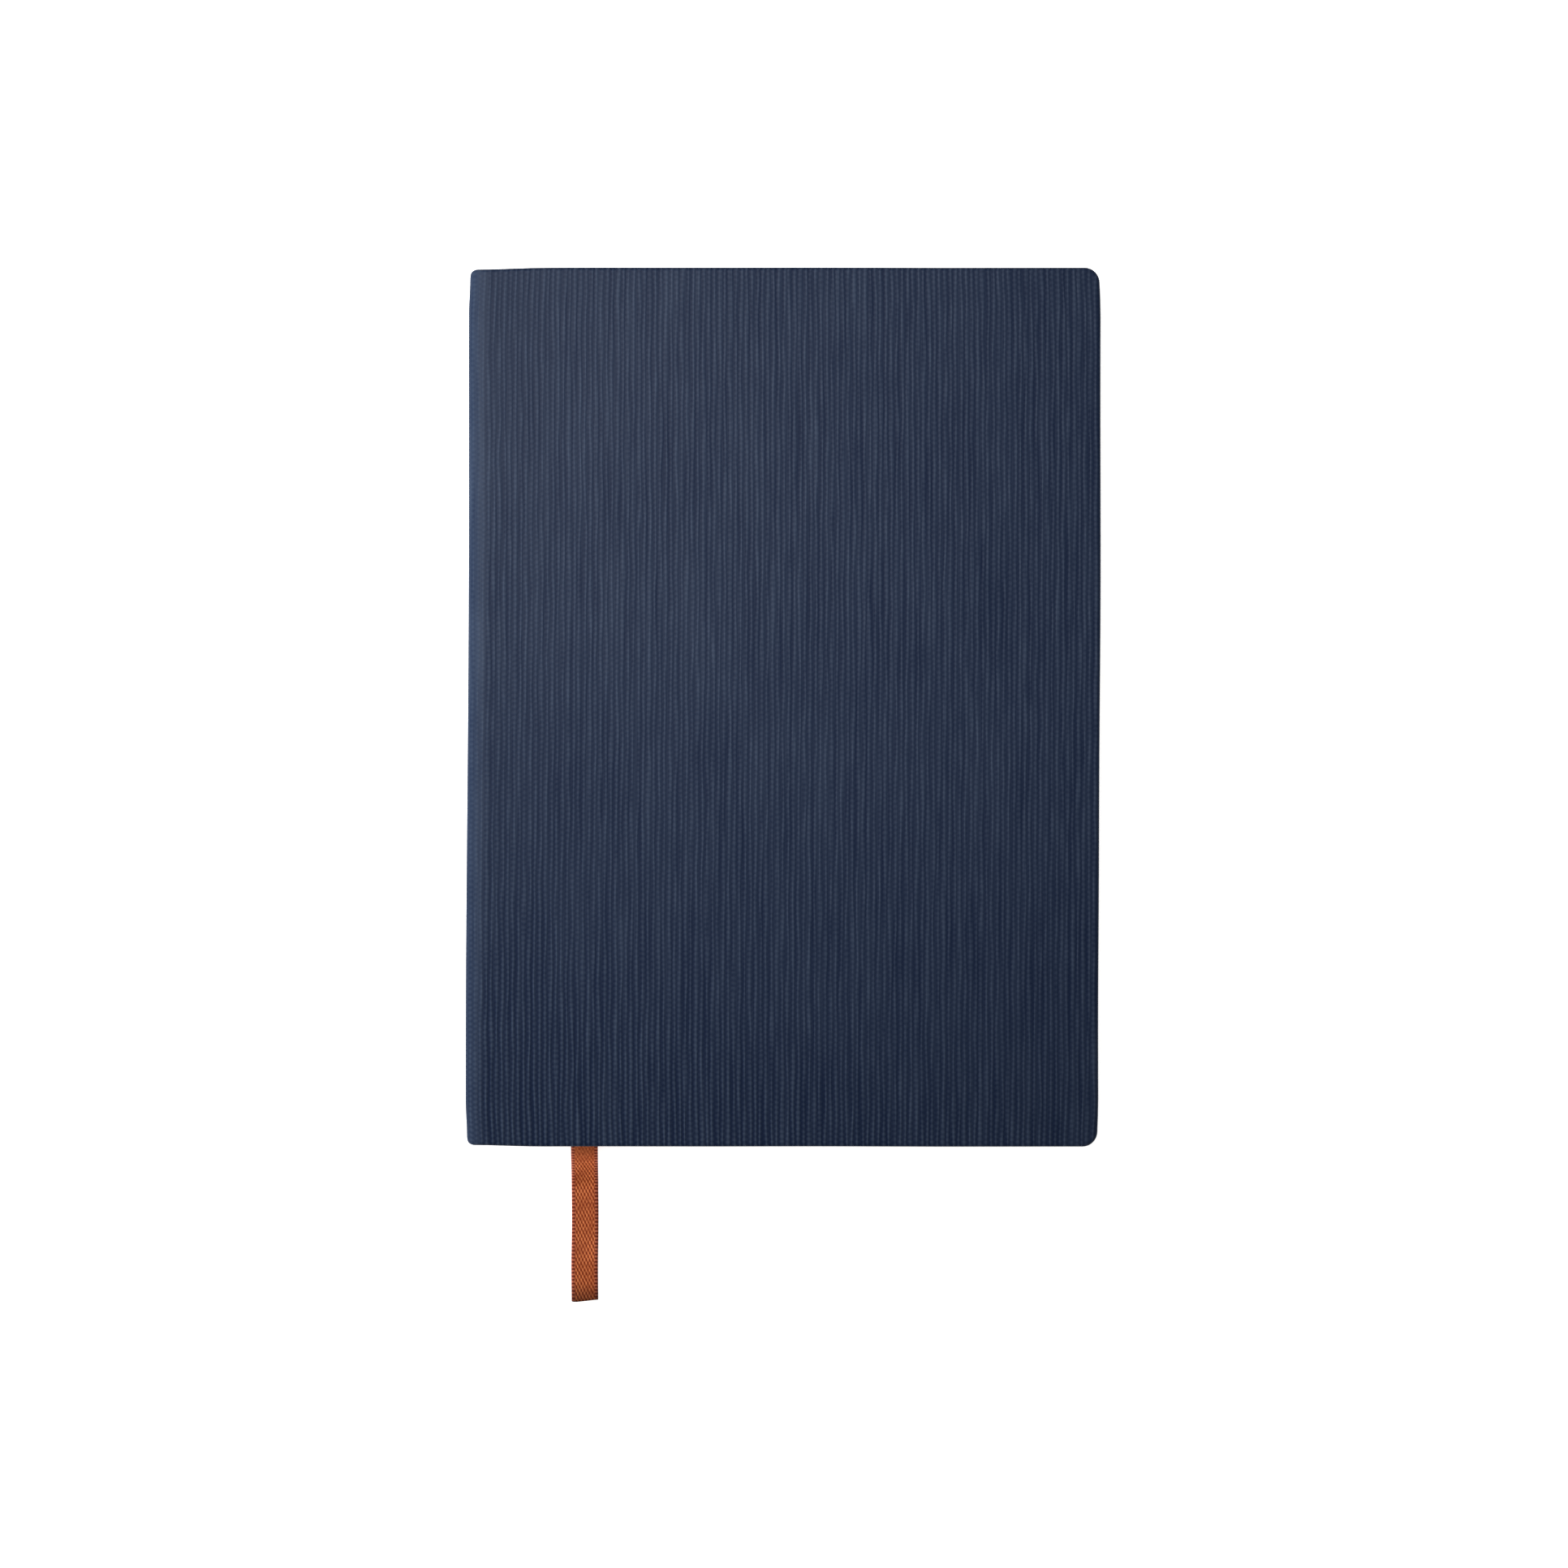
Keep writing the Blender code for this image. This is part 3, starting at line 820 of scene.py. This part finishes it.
def make_stitches(index, material):
    """The chain stitches that join two neighbouring signatures."""
    _, _, low, high = JOINTS[index]
    builder = Builder()
    for station in range(STATIONS):
        y0 = STATION_SPREAD * (station / (STATIONS - 1) - 0.5)
        for sign in (1, -1):
            path = []
            for z in levels_between(low, high, 18 if index == MIDDLE_JOINT else 10):
                swing = STITCH_SWING * abs(sin(pi * (z - low) / (high - low))) + STITCH_GAP
                path.append((STITCH_X, y0 + sign * swing, z))
            tube(builder, path, THREAD_RADIUS)
    obj = builder.finish(f"stitches_{index}", [material], recalc=True)
    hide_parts(*[f"sewing_thread_{k}" for k in range(1, STATIONS + 1)])
    bend_at(obj)


# ---------------------------------------------------------------- ribbon


def ribbon_path():
    """Middle line of the ribbon from the head of the spine to its cut end."""
    shifted = RIBBON_EXIT_X + RIBBON_SHIFT
    ledge = -BLOCK_Y - RIBBON_LEDGE
    landing = ledge - RIBBON_DROP
    path = []
    for t in levels_between(0, 1, 60)[:-1]:
        x = RIBBON_ROOT_X + (shifted - RIBBON_ROOT_X) * smooth_step(t * 1.05)
        path.append((x, BLOCK_Y * (1 - 2 * t), RIBBON_Z))
    path += [(shifted, y, RIBBON_Z) for y in levels_between(-BLOCK_Y, ledge, 4)[1:]]
    for t in levels_between(0, 1, 32)[1:]:
        z = RIBBON_Z + (RIBBON_REST_Z - RIBBON_Z) * smooth_step(t)
        path.append((shifted - RIBBON_SHIFT * smooth_step(t), ledge - RIBBON_DROP * t, z))
    for t in levels_between(0, 1, 40)[1:]:
        hump = RIBBON_HUMP * sin(pi * ramp(t, 0.30, 1.0)) ** 2
        x = RIBBON_EXIT_X + RIBBON_SWAY * sin(2 * pi * t)
        path.append((x, landing + (RIBBON_END_Y - landing) * t, RIBBON_REST_Z + hump))
    return path


def make_ribbon(material):
    builder = Builder()
    path = ribbon_path()
    runs = run_lengths(path)
    across, last = 12, len(path) - 1
    cut_rows = 6  # Rows over which the section turns to the cut end's slant
    rings, uvs = [], []
    for i, (point, run) in enumerate(zip(path, runs)):
        axis = (Vector(path[min(i + 1, last)]) - Vector(path[max(i - 1, 0)])).normalized()
        side = Vector((-axis.y, axis.x, 0.0)).normalized()
        up = axis.cross(side)
        free = ramp(-point[1], HALF_HEIGHT, HALF_HEIGHT + 12 * MM)
        to_cut = max(i - (last - cut_rows), 0) / cut_rows
        ring, ring_uv = [], []
        for face in (1, -1):
            for share in levels_between(face, -face, across):
                u = share * RIBBON_WIDTH / 2
                half_thick = face * (1 - 0.55 * abs(share) ** 8) * RIBBON_THICKNESS / 2
                cup = RIBBON_CUP * free * (share * share - 0.4)
                # The cut end is a little oblique, and its corner on the spine's side is blunt
                slant = u * 0.10 + 0.25 * MM * max(-share, 0.0) ** 6
                ring.append(Vector(point) + side * u + up * (cup + half_thick) - axis * slant * to_cut)
                ring_uv.append((u, run))
        rings.append(ring)
        uvs.append(ring_uv)
    rows = builder.grid(rings, uvs, closed=True)
    builder.cap(rows[0], uvs[0], flip=True)
    builder.cap(rows[-1], uvs[-1])
    obj = builder.finish("ribbon", [material], weld=RIBBON_WELD, recalc=True)
    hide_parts("ribbon_inner", "ribbon_tail")
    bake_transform(obj)


# ---------------------------------------------------------------- boards and pastedowns


def make_panel(word, part, left, right, reach, depths, material, slot):
    """A board or a sheet inside a cover, clear of the edges of its cloth."""
    corner = [
        (right - PAGE_CORNER * (1 - sin(a)), reach - PAGE_CORNER * (1 - cos(a))) for a in quarter_turn(6)
    ]
    outline = corner + [(x, -y) for x, y in corner[::-1]] + [(left, -reach), (left, reach)]
    runs = run_lengths(outline)
    levels = depths if word == "back" else [THICKNESS - depth for depth in depths]
    builder = Builder()
    rings = [[(x, y, z) for x, y in outline] for z in levels]
    rows = builder.grid(rings, [[(z, run) for run in runs] for z in levels], closed=True, smooth=False)
    for row in rows:
        builder.cap(row, outline)
    obj = builder.finish(f"{word}_{part}_panel", [material], recalc=True)
    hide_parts(f"{word}_{part}")
    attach(obj, f"{word}_cover")


# ---------------------------------------------------------------- assembly


def build_book():
    cloth = cloth_material()
    pages = [page_material(), page_edge_material()]
    endpaper = endpaper_material()
    board = board_material()
    mull = mull_material()
    band = thread_material("band_thread", 0.32 * MM, 0.35, NAVY_AND_STRAW)
    linen = thread_material("linen_thread", 0.30 * MM, 0.8, LINEN)
    last = len(JOINTS) - 1

    for word in ("front", "back"):
        make_cover_cloth(word, cloth)
        make_panel(word, "board", *BOARD, BOARD_DEPTHS, board, "board")
        make_panel(word, "pastedown", PASTEDOWN_X0, BLOCK_X1, BLOCK_Y, PASTEDOWN_DEPTHS, endpaper, "endpaper")
    for index in range(len(JOINTS)):
        make_spine_cloth(index, cloth)
        make_mull(index, mull)
        make_bands(index, band)
        if 0 < index < last:
            make_stitches(index, linen)
        # Facing each other over this joint: the lower signature's upper half and the upper one's lower half
        below, above, _, _ = JOINTS[index]
        facing = [(SIGNATURES + 1 - index, True)] if index > 0 else []
        facing += [(SIGNATURES - index, False)] if index < last else []
        if index == MIDDLE_JOINT:
            make_leaves("leaves_before_middle", facing[:1], pages, body=below)
            make_leaves("leaves_after_middle", facing[1:], pages, body=above)
        else:
            make_leaves(f"leaves_{index}", facing, pages)
    make_flyleaf("back", 0, FLYLEAF_Z, [endpaper, pages[1]])
    make_flyleaf("front", last, THICKNESS - FLYLEAF_Z, [endpaper, pages[1]])
    make_ribbon(ribbon_material())


# ---------------------------------------------------------------- studio

FLOOR_HALF = 12.0
FLOOR_Z = -0.05 * MM
SURROUNDINGS_AS_LIGHT = 0.42
SURROUNDINGS_AS_SEEN = 1.0
SPOT_ANGLE = 0.76
LENS, SENSOR = 100.0, 36.0
VIEW_WIDTH = 361.8 * MM
CAMERA_Y = -17.75 * MM


def add_light(kind, name, place, aim, watts, size, leaves, state):
    """A light that reaches only the leaves and what is sewn or glued to them, or everything except those."""
    light = bpy.data.lights.new(name, kind)
    light.energy = watts
    if kind == "SPOT":
        light.shadow_soft_size, light.spot_size, light.spot_blend = size, SPOT_ANGLE, 1.0
    else:
        light.shape, light.size = "DISK", size
    obj = bpy.data.objects.new(name, light)
    obj.location = place
    obj.rotation_euler = (Vector(aim) - Vector(place)).to_track_quat("-Z", "Y").to_euler()
    bpy.context.scene.collection.objects.link(obj)
    receivers = bpy.data.collections.new(f"{name}_reach")
    for leaf in leaves:
        receivers.objects.link(leaf)
    obj.light_linking.receiver_collection = receivers
    for item in receivers.collection_objects:
        item.light_linking.link_state = state
    return obj


def build_world():
    """Surroundings that light the book softly, and are as white as the floor where they are seen."""
    world = bpy.data.worlds.new("studio")
    world.use_nodes = True
    nodes, links = world.node_tree.nodes, world.node_tree.links
    nodes["Background"].inputs["Color"].default_value = (1.0, 1.0, 1.0, 1)
    strength = nodes.new("ShaderNodeMapRange")
    strength.inputs["To Min"].default_value = SURROUNDINGS_AS_LIGHT
    strength.inputs["To Max"].default_value = SURROUNDINGS_AS_SEEN
    links.new(nodes.new("ShaderNodeLightPath").outputs["Is Camera Ray"], strength.inputs["Value"])
    links.new(strength.outputs["Result"], nodes["Background"].inputs["Strength"])
    bpy.context.scene.world = world


def build_floor():
    mesh = bpy.data.meshes.new("floor")
    corners = [(x * FLOOR_HALF, y * FLOOR_HALF, 0) for x, y in ((-1, -1), (1, -1), (1, 1), (-1, 1))]
    mesh.from_pydata(corners, [], [(0, 1, 2, 3)])
    floor = bpy.data.objects.new("floor", mesh)
    floor.location.z = FLOOR_Z
    bpy.context.scene.collection.objects.link(floor)
    material = bpy.data.materials.new("floor")
    material.use_nodes = True
    shader = material.node_tree.nodes["Principled BSDF"]
    shader.inputs["Base Color"].default_value = (0.93, 0.93, 0.93, 1)
    shader.inputs["Roughness"].default_value = 0.9
    shader.inputs["Emission Color"].default_value = (1, 1, 1, 1)
    shader.inputs["Emission Strength"].default_value = 0.70
    mesh.materials.append(material)


def build_camera():
    """Straight above the book, at the height where the frame is as wide as the photograph's."""
    camera = bpy.data.cameras.new("camera")
    camera.lens, camera.sensor_width = LENS, SENSOR
    camera.clip_start, camera.clip_end = 0.01, 60.0
    obj = bpy.data.objects.new("camera", camera)
    obj.location = (0.0, CAMERA_Y, THICKNESS + VIEW_WIDTH * LENS / SENSOR)
    bpy.context.scene.collection.objects.link(obj)
    bpy.context.scene.camera = obj


def build_studio():
    bpy.context.scene.view_settings.view_transform = "Standard"
    build_world()
    build_floor()
    build_camera()
    # The key suits the dark cloth and would bleach pale leaves, so those have a softer light of their own
    meshes = [obj for obj in bpy.data.objects if obj.type == "MESH" and obj.data.materials]
    leaves = [obj for obj in meshes if obj.data.materials[0].name in PALE]
    add_light(
        "SPOT", "key", place=(-0.22, 0.17, 0.64), aim=(-0.027, 0.060, 0), watts=20.1, size=0.11,
        leaves=leaves, state="EXCLUDE",
    )
    rim = add_light(
        "AREA", "rim", place=(-0.60, 0.02, 0.16), aim=(-0.07, 0, 0.01), watts=5.5, size=0.25,
        leaves=leaves, state="EXCLUDE",
    )
    rim.visible_glossy = False
    add_light(
        "AREA", "leaf_light", place=(-0.45, 0.40, 1.10), aim=(-0.07, 0, 0), watts=12.0, size=0.40,
        leaves=leaves, state="INCLUDE",
    )


build_book()
build_studio()
